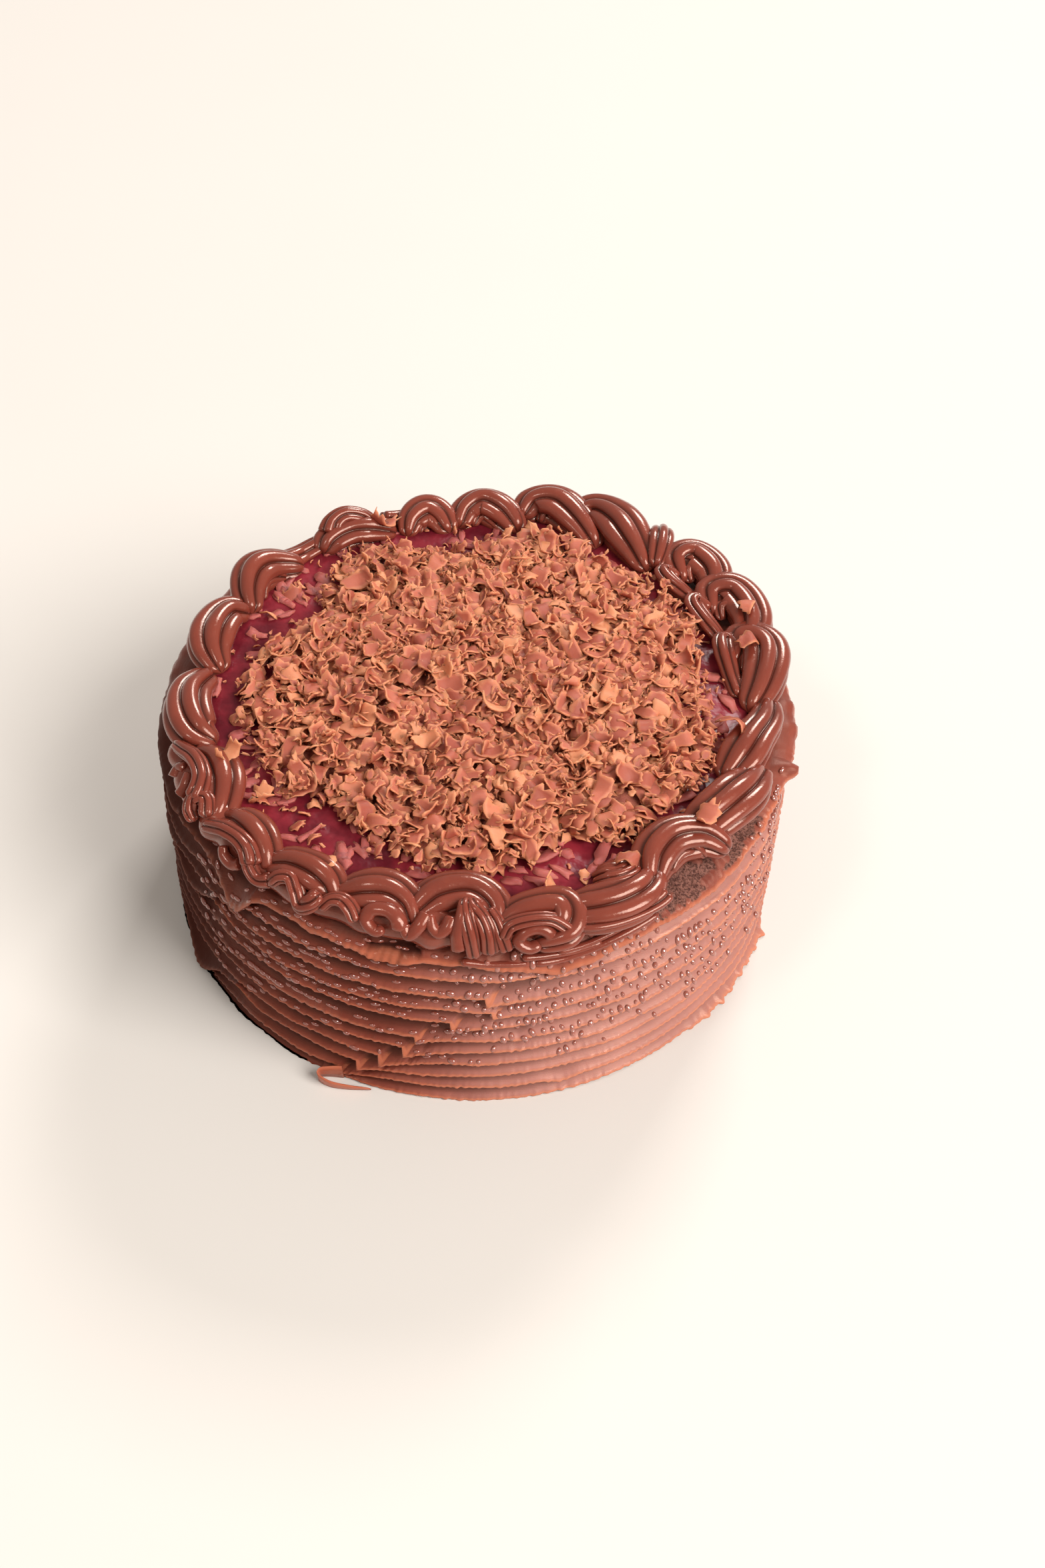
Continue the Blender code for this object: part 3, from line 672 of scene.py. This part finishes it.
def curve_through(points, steps):
    """Catmull-Rom curve through rows of numbers, sampled evenly between them."""
    points = np.asarray(points, dtype=float)
    last = len(points) - 1
    place = np.linspace(0, last, steps)
    k = np.minimum(place.astype(int), last - 1)
    t = (place - k)[:, None]
    a, b, c, d = (points[np.clip(j, 0, last)] for j in (k - 1, k, k + 1, k + 2))
    square, cube = 2 * a - 5 * b + 4 * c - d, 3 * b - a - 3 * c + d
    return 0.5 * (2 * b + (c - a) * t + square * t**2 + cube * t**3)


def top_height(radius):
    """Height of the covered cake at each radius, down to the side of its rounded edge."""
    over = np.clip(radius - FLAT_RADIUS, 0.0, 0.95 * SHOULDER)
    return WALL_TOP + np.sqrt(SHOULDER**2 - over**2)


def stroke_line(thickness, lift, *places):
    """The middle of one stroke and its radius at each station."""
    table = [(*place, rise, girth) for place, rise, girth in zip(places, RISE, GIRTH)]
    azimuth, radius, rise, girth = curve_through(table, ROPE_STATIONS).T
    radius = radius / 1000
    floor = CAKE_HEIGHT - DROOP * (CAKE_HEIGHT - top_height(radius)) + lift / 1000
    middle = polar(radius, np.radians(azimuth), floor + rise * thickness * ROPE_RADIUS)
    return middle, girth * thickness * ROPE_RADIUS


def inner_loop(middle, radius):
    """The smaller loop that the star tip leaves inside a stroke's bend, or None for a straight stroke."""
    ends = (middle[0] + middle[-1]) / 2
    if np.linalg.norm(middle[len(middle) // 2] - ends) < 0.005:
        return None
    eye = ends * 0.75 + middle[len(middle) // 2] * 0.25
    loop = eye + (middle - eye) * 0.48
    loop[:, 2] = middle[:, 2] + 0.0004
    return loop, radius * 0.42


def rounded_ends(stations):
    """Shares that round off both ends of a rope."""
    place = np.linspace(0, 1, stations)
    ends = 1.0
    for from_end, reach in ((place, 0.09), (1 - place, 0.10)):
        ends = ends * np.sqrt(np.clip(1 - (1 - np.minimum(from_end / reach, 1)) ** 2, 0.0025, 1))
    return ends


def star_section(crests):
    """Angle and reach of points round a star tip's section, whose crests are arcs that cross at valleys, and
    how deep in a valley each point lies."""
    half = math.pi / crests
    centre = 1 / (1 + CREST_OVERLAP * math.sin(half))
    arc = 1 - centre
    offset = np.array(CREST_PLACES) * half
    reach = centre * np.cos(offset) + np.sqrt(arc**2 - (centre * np.sin(offset)) ** 2)
    middles = np.arange(crests)[:, None] * 2 * half
    deep = (1 - reach) / (1 - reach.min())
    return (middles + offset).ravel(), np.tile(reach, crests), np.tile(deep, crests)


def round_section(points=12):
    turn = np.linspace(0, 2 * math.pi, points, endpoint=False)
    return turn, np.ones(points), np.zeros(points)


def rope_points(middle, radius, rng, section):
    """Points of a rope about its middle line: a grid, and how deep in a valley each one lies."""
    along = np.gradient(middle, axis=0)
    along /= np.linalg.norm(along, axis=1)[:, None]
    across = np.cross(along, np.array([0.0, 0.0, 1.0]))
    across /= np.linalg.norm(across, axis=1)[:, None]
    up = np.cross(across, along)
    stations = len(middle)
    place = np.linspace(0, 1, stations)[:, None]
    angle, share, deep = (values[None, :] for values in section)
    turn = angle + rng.uniform(-0.25, 0.25) + rng.uniform(-0.35, 0.35) * (place - 0.5)
    uneven = 1.0 + 0.06 * np.sin(turn * 2 + rng.uniform(0, 6) + 3 * place)
    uneven = uneven + 0.04 * np.sin(9 * place + rng.uniform(0, 6))
    reach = radius[:, None] * uneven * share * rounded_ends(stations)[:, None]
    points = (
        middle[:, None, :]
        + (reach * np.sin(turn))[..., None] * across[:, None, :]
        + (ROPE_FLATNESS * reach * np.cos(turn))[..., None] * up[:, None, :]
    )
    return points, np.broadcast_to(smoothstep(deep * 1.5 - 0.35), reach.shape)


def join_ropes(name, ropes, look):
    """One piece of all the ropes."""
    points, quads, deeps = [], [], []
    total = 0
    for grid, deep in ropes:
        rows, columns, _ = grid.shape
        points.append(grid.reshape(-1, 3))
        deeps.append(deep.ravel())
        quads.append(grid_faces(rows, columns, closed=True, first=total)[:, ::-1])
        total += rows * columns
    made = make_piece(name, np.concatenate(points), np.concatenate(quads), look, deep=np.concatenate(deeps))
    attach(made, "root")
    return made


def build_border(look):
    rng = np.random.default_rng(21)
    ropes, folds = [], []
    for stroke in STROKES:
        middle, radius = stroke_line(*stroke)
        ropes.append(rope_points(middle, radius, rng, star_section(ROPE_CRESTS)))
        loop = inner_loop(middle, radius)
        if loop is not None:
            ropes.append(rope_points(loop[0][::2], loop[1][::2], rng, star_section(4)))
    for thickness, *places in FOLDS:
        azimuth, radius, height = curve_through(places, 8 * len(places)).T
        middle = polar(radius / 1000, np.radians(azimuth), height / 1000 + CAKE_HEIGHT)
        girth = thickness * ROPE_RADIUS * np.linspace(1.1, 0.8, len(middle))
        section = star_section(5) if thickness > 0.33 else round_section()
        folds.append(rope_points(middle, girth, rng, section))
    turn = np.radians(np.arange(194.0, 304.0, 0.6))
    ring, half_width, level = BED
    around = polar(ring, turn, level)
    girth = half_width * (1.0 + 0.14 * ripple(np.degrees(turn), 501, 10, 60, 10))
    folds.append(rope_points(around, girth, rng, round_section(16)))
    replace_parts(join_ropes("piped_rope", ropes, look), "piped_border")
    join_ropes("cream_folds", folds, look)


# The jelly


def build_jelly(look):
    """The jelly, whose rim runs in under the border."""
    rim = JELLY_RADIUS + 0.0045
    bottom = CAKE_HEIGHT + GAP
    top = bottom + JELLY_DEPTH
    profile = [(rim, bottom), (rim, bottom + 0.8 * JELLY_DEPTH), (rim - 0.0005, top)]
    profile += [(JELLY_RADIUS * share - 0.0012, top) for share in np.linspace(0.97, 0.03, 40)]
    grid = turned(profile, 200)
    lumps = 0.0006 * cloud(grid, 130, 4.0) + 0.0003 * cloud(grid, 420, 6.0)
    grid[3:, :, 2] += lumps[3:]
    made = grid_piece("red_jelly", grid, look)
    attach(made, "root")
    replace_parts(made, "jelly_top")


# The shavings


def heap_reach(azimuth):
    """The heap's radius at each azimuth."""
    reach = np.full_like(azimuth, HEAP_RADIUS)
    for middle, width, depth in HEAP_BITES:
        reach -= depth * np.exp(-((bearing_gap(azimuth, middle) / width) ** 2))
    return reach


def heap_surface(share):
    """The heap's height over its floor, from the share of its radius."""
    return HEAP_HEIGHT * (1 - share**2.4)


def flake_batch(rng, count, kind):
    """Local points of many curled thin flakes, as (flake, layer, row, column, xyz), and how near a torn edge
    each one is."""
    long_cells, wide_cells = kind.cells
    length = rng.uniform(*kind.length, count)[:, None, None]
    width = rng.uniform(*kind.width, count)[:, None, None]
    u = np.linspace(-0.5, 0.5, long_cells + 1)[None, :, None]
    v = np.linspace(-0.5, 0.5, wide_cells + 1)[None, None, :]
    jag_u = rng.uniform(-1, 1, (count, long_cells + 1, wide_cells + 1)) * kind.ragged
    jag_v = rng.uniform(-1, 1, (count, long_cells + 1, wide_cells + 1)) * kind.ragged
    rim_u = (np.abs(u) > 0.49) * np.ones_like(jag_u)
    rim_v = (np.abs(v) > 0.49) * np.ones_like(jag_v)
    x = (u + jag_u * rim_u * 0.5 + jag_u * 0.08) * length
    taper = 1.0 - 0.40 * np.abs(u + rng.uniform(-0.35, 0.35, (count, 1, 1))) * 2
    y = (v * np.clip(taper, 0.35, 1.0) + jag_v * rim_v * 0.5 + jag_v * 0.06) * width
    curl = rng.uniform(*kind.curl, count)[:, None, None]
    tighter = 1.0 + rng.uniform(0.0, 1.2, (count, 1, 1)) * (x / length + 0.5)
    turn = x / curl * tighter
    lift = 0.18 * (v**2) * width * rng.uniform(-1, 1.6, (count, 1, 1))
    start = rng.uniform(0, 2 * math.pi, (count, 1, 1))
    waves = rng.uniform(4, 9, (count, 1, 1)) * u + rng.uniform(-4, 4, (count, 1, 1)) * v
    lift = lift + 0.07 * width * np.sin(waves + start)
    y = y + rng.uniform(-0.6, 0.6, (count, 1, 1)) * x * 0.4
    points = np.stack([curl * np.sin(turn) / tighter, y, curl * (np.cos(turn) - 1) / tighter + lift], axis=-1)
    normal = np.stack([np.sin(turn), np.zeros_like(turn), np.cos(turn)], axis=-1)
    half = kind.thickness / 2
    layers = np.stack([points + normal * half, points - normal * half], axis=1)
    near = np.clip(np.maximum(rim_u, rim_v) * rng.uniform(0.5, 1.0, jag_u.shape), 0, 1)
    return layers, np.stack([near, near], axis=1)


def turn_matrices(rng, count, tilt):
    """Random turns: any heading, tipped by up to tilt degrees, and some laid on their backs."""
    heading = rng.uniform(0, 2 * math.pi, count)
    pitch = np.radians(rng.uniform(-tilt, tilt, count))
    roll = np.radians(rng.uniform(-tilt, tilt, count)) + np.where(rng.random(count) < 0.35, math.pi, 0.0)

    def about(axis, angle):
        c, s = np.cos(angle), np.sin(angle)
        made = np.zeros((count, 3, 3))
        i, j = [(1, 2), (2, 0), (0, 1)][axis]
        made[:, axis, axis] = 1
        made[:, i, i] = c
        made[:, j, j] = c
        made[:, i, j] = -s
        made[:, j, i] = s
        return made

    return about(2, heading) @ about(1, pitch) @ about(0, roll)


def flake_faces(count, cells):
    """Faces of the flakes: both sides and the rim, wound to point outwards."""
    rows, columns = cells[0] + 1, cells[1] + 1
    one = rows * columns
    top = grid_faces(rows, columns)[:, ::-1]
    bottom = grid_faces(rows, columns) + one
    loop = list(range(columns))
    loop += [r * columns + columns - 1 for r in range(1, rows)]
    loop += [(rows - 1) * columns + c for c in range(columns - 2, -1, -1)]
    loop += [r * columns for r in range(rows - 2, 0, -1)]
    loop = np.array(loop)
    after = np.roll(loop, -1)
    rim = np.stack([loop, after, after + one, loop + one], axis=-1)
    faces = np.concatenate([top, bottom, rim])[None] + (np.arange(count) * 2 * one)[:, None, None]
    return faces.reshape(-1, 4)


def scatter_flakes(name, kind, rng, places, look):
    """One piece of flakes of one kind, one at each place."""
    count = len(places)
    layers, near = flake_batch(rng, count, kind)
    turns = turn_matrices(rng, count, kind.tilt)
    points = np.einsum("nij,nlrcj->nlrci", turns, layers) + places[:, None, None, None, :]
    tone = np.broadcast_to(rng.random((count, 1, 1, 1)) ** 1.3, near.shape)
    faces = flake_faces(count, kind.cells)
    made = make_piece(name, points.reshape(-1, 3), faces, look, edge=near * 0.85, tone=tone)
    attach(made, "root")
    return made


def heap_places(rng, count, lift, edge_share=1.0, level=0.0):
    """Random places over the heap, lifted off its surface by a random share of lift."""
    azimuth = rng.uniform(0, 360, count)
    share = np.sqrt(rng.uniform(0, 1, count)) * edge_share
    reach = heap_reach(azimuth) - 0.002
    z = HEAP_FLOOR + 0.0010 + level + heap_surface(share) * 0.72 + rng.uniform(0, 1, count) * lift
    return polar(share * reach, np.radians(azimuth), z) + np.array(HEAP_CENTRE)


def jelly_places(rng, count, lift):
    """Random places on the jelly between the heap and the border, in patches."""
    azimuth = rng.choice(JELLY_PATCHES, count, p=JELLY_SHARES) + rng.normal(0, 22, count)
    radius = rng.uniform(0.066, 0.0815, count)
    return polar(radius, np.radians(azimuth), SUNK_LEVEL + rng.uniform(0, 1, count) * lift)


def build_heap_core(look):
    """The low lumpy mound that the shavings hide."""
    columns, rings = 96, 22
    azimuth = np.linspace(0, 360, columns, endpoint=False)
    share = np.linspace(1.0, 0.02, rings)[:, None]
    reach = heap_reach(azimuth) - 0.009
    grid = polar(share * reach, np.radians(azimuth), HEAP_FLOOR + 0.0008 + heap_surface(share) * 0.74)
    lumps = 0.0014 * (cloud(grid, 260, 2.0) + 0.6 * cloud(grid, 700, 8.0))
    grid[..., 2] += lumps * np.linspace(0, 1, rings)[:, None] ** 0.3
    grid += np.array(HEAP_CENTRE)
    made = grid_piece("heap_core", grid, look)
    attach(made, "root")


def build_shavings(look, sunk_finish):
    rng = np.random.default_rng(5)
    curled = scatter_flakes("curled_shavings", CURLED, rng, heap_places(rng, 1300, 0.0032), look)
    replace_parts(curled, "shavings")
    places = heap_places(rng, 190, 0.0022, 0.98, 0.0022)
    scatter_flakes("large_shavings", LARGE, rng, places, look)
    places = np.concatenate([heap_places(rng, 1200, 0.0042, 1.05), jelly_places(rng, 46, 0.0012)])
    scatter_flakes("smaller_shavings", SMALLER, rng, places, look)
    places = np.concatenate([heap_places(rng, 1500, 0.0042, 1.07), jelly_places(rng, 100, 0.0008)])
    scatter_flakes("broken_shavings", BROKEN, rng, places, look)
    azimuth, radius, height = np.array(STRAYS, dtype=float).T
    places = polar(radius / 1000, np.radians(azimuth), height / 1000)
    scatter_flakes("fallen_shavings", FALLEN, rng, places, look)
    places = np.concatenate([heap_places(rng, 200, 0.0, 1.08), jelly_places(rng, 110, 0.0)])
    places[:, 2] = SUNK_LEVEL
    scatter_flakes("sunk_shavings", SUNK, rng, places, sunk_finish)


# Droplets on the wall


def ball(rings, segments):
    """A unit ball as points and quads, its poles along Z."""
    tilts = [math.pi * i / rings for i in range(rings + 1)]
    points = turned([(math.sin(t), -math.cos(t)) for t in tilts], segments)
    return points.reshape(-1, 3), grid_faces(rings + 1, segments, closed=True)


def droplet_places(rng):
    """Droplets, as (azimuth, board, share of the board, half width, half height, how much painted light on the
    right side).
    """
    for k in range(3, len(LIPS) + 1):
        for row, share in enumerate((0.16, 0.58)):
            azimuth = 214.0
            while azimuth < 345.0:
                azimuth += rng.uniform(1.0, 2.0)
                right = smoothstep((azimuth - 262.0) / 14.0) * smoothstep((350.0 - azimuth) / 20.0)
                chance = 0.90 if row == 0 else (0.05 + 0.60 * right)
                if k < 5:
                    chance *= 0.35
                if rng.random() > chance:
                    continue
                if abs(bearing_gap(azimuth, 317.5)) < 12 and k > 8:
                    continue
                size = rng.uniform(0.00062, 0.00108)
                wide = size * (1.0 + (1.0 - right) * rng.uniform(0.2, 0.9))
                high = size * (0.75 + right * rng.uniform(0.25, 0.95))
                yield azimuth, k, share + rng.uniform(-0.09, 0.12), wide, high, right


def build_droplets(coat, look):
    """The droplets, each flattened against the coat's points."""
    rng = np.random.default_rng(33)
    azimuths = np.degrees(np.arctan2(coat[20, :, 1], coat[20, :, 0])) % 360
    shares = np.array([b[0] for b in BOARD])
    unit, quads = ball(6, 10)
    points, faces, pales = [], [], []
    for azimuth, k, share, wide, high, pale in droplet_places(rng):
        column = int(np.argmin(np.abs(bearing_gap(azimuths, azimuth))))
        row = k * len(BOARD) + BOARD_FACE + int(np.argmin(np.abs(shares[BOARD_FACE:] - share)))
        place = coat[row, column]
        beside = coat[row, (column + 2) % coat.shape[1]] - coat[row, column - 2]
        above = coat[row + 1, column] - coat[row - 1, column]
        normal = np.cross(beside, above)
        normal /= max(np.linalg.norm(normal), 1e-9)
        along = beside / max(np.linalg.norm(beside), 1e-9)
        upwards = np.cross(normal, along)
        slant = rng.uniform(-0.3, 0.3)
        leaning = upwards * high + along * high * slant
        axes = np.stack([along * wide, leaning, normal * min(wide, high) * 0.65])
        pales.append(np.full(len(unit), pale))
        faces.append(quads + len(points) * len(unit))
        points.append(unit @ axes + place)
    pale = np.concatenate(pales)
    made = make_piece("droplets", np.concatenate(points), np.concatenate(faces), look, pale=pale)
    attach(made, "root")


def build_peeled_flap(look):
    """The thin loop of cream that has peeled off the foot of the wall at the seam."""
    azimuth, radius = curve_through(PEELED_FLAP, 40).T
    height = 0.0058 * (1 - np.linspace(0, 1, len(azimuth))) ** 0.7 + 0.0012
    up = (0.0, 0.33, 0.66, 1.0)
    section = [(-0.00022, share) for share in up] + [(0.00022, share) for share in reversed(up)]
    sides = []
    for offset, share in section:
        reach = radius / 1000 + offset + 0.0006 * share
        sides.append(polar(reach, np.radians(azimuth), 0.0002 + height * share))
    grid = np.array(sides).transpose(1, 0, 2)
    # The flap takes the painted highlight of a lip's edge all over
    made = grid_piece("peeled_flap", grid, look, edge=np.full(grid.shape[:2], 0.9))
    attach(made, "root")


def build_sponge(look):
    """The dark sponge inside the coat, which closes it and shows where the cream is torn."""
    profile = [(0.001, 0.0004), (0.05, 0.0004), (0.0925, 0.0004)]
    profile += [(0.0925, z) for z in np.linspace(0.004, 0.065, 12)]
    profile += [(0.0905, 0.0690), (0.087, 0.0722), (0.082, 0.0738), (0.05, 0.0738), (0.001, 0.0738)]
    made = grid_piece("sponge", turned(profile, 160), look)
    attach(made, "root")


# Camera, floor and light


def add_camera():
    pitch, roll = math.radians(CAMERA_PITCH), math.radians(CAMERA_ROLL)
    forward = Vector((0, math.cos(pitch), -math.sin(pitch)))
    level = Vector((1, 0, 0))
    upright = level.cross(forward)
    right = level * math.cos(roll) + upright * math.sin(roll)
    up = upright * math.cos(roll) - level * math.sin(roll)
    data = bpy.data.cameras.new("camera")
    data.sensor_width = 36.0
    data.lens = FOCAL_LENGTH / max(PHOTO_WIDTH, PHOTO_HEIGHT) * data.sensor_width
    data.clip_start, data.clip_end = 0.01, 50.0
    camera = bpy.data.objects.new("camera", data)
    bpy.context.scene.collection.objects.link(camera)
    axes = Matrix((right, up, -forward)).transposed().to_4x4()
    camera.matrix_world = Matrix.Translation(CAMERA_PLACE) @ axes
    bpy.context.scene.camera = camera


def add_light(name, place, size, power, colour):
    """A soft square light at place that points at the cake."""
    data = bpy.data.lights.new(name, "AREA")
    data.shape = "SQUARE"
    data.size = size
    data.energy = power
    data.color = colour
    light = bpy.data.objects.new(name, data)
    bpy.context.scene.collection.objects.link(light)
    target = Vector((0, 0, 0.05))
    light.location = place
    light.rotation_euler = (target - Vector(place)).to_track_quat("-Z", "Y").to_euler()


def add_stage():
    look = Finish("pale_floor", 0.7, Specular_IOR_Level=0.2)
    look.colour(look.blend(look.noise(6, 2), (0.655, 0.615, 0.572), (0.675, 0.635, 0.592)))
    bpy.ops.mesh.primitive_circle_add(vertices=96, radius=3.0, fill_type="NGON", location=(0, 0, 0))
    floor = bpy.context.object
    floor.name = "floor"
    floor.data.materials.append(look.material)
    world = bpy.data.worlds.new("studio")
    world.use_nodes = True
    background = world.node_tree.nodes["Background"]
    background.inputs["Color"].default_value = (1.0, 0.925, 0.85, 1.0)
    background.inputs["Strength"].default_value = 0.43
    scene = bpy.context.scene
    scene.world = world
    scene.view_settings.view_transform = "Standard"
    add_light("key", (1.90, -1.25, 2.08), 1.7, 121.0, (1.0, 0.98, 0.955))
    add_light("back", (0.88, 2.38, 2.12), 0.9, 58.0, (1.0, 0.98, 0.96))
    add_light("left", (-1.10, -1.00, 2.45), 0.4, 10.0, (1.0, 0.97, 0.94))


def main():
    add_camera()
    add_stage()
    coat_look = coat_finish()
    coat = build_coat(coat_look)
    build_peeled_flap(coat_look)
    build_border(border_finish())
    build_jelly(jelly_finish())
    # The heap's core takes a darker colour as painted shade in the gaps between the shavings
    build_heap_core(plain_finish("heap_shade", (0.430, 0.125, 0.075), (0.270, 0.062, 0.042), 0.6, 300))
    build_shavings(
        shavings_finish("shavings", (0.315, 0.070, 0.042), (0.500, 0.148, 0.088), (0.655, 0.262, 0.130)),
        shavings_finish("sunk_shavings", (0.300, 0.055, 0.050), (0.450, 0.115, 0.100), (0.400, 0.100, 0.080)),
    )
    build_droplets(coat, droplet_finish())
    build_sponge(plain_finish("sponge", SPONGE_DARK, SPONGE, 0.9, 700))


main()
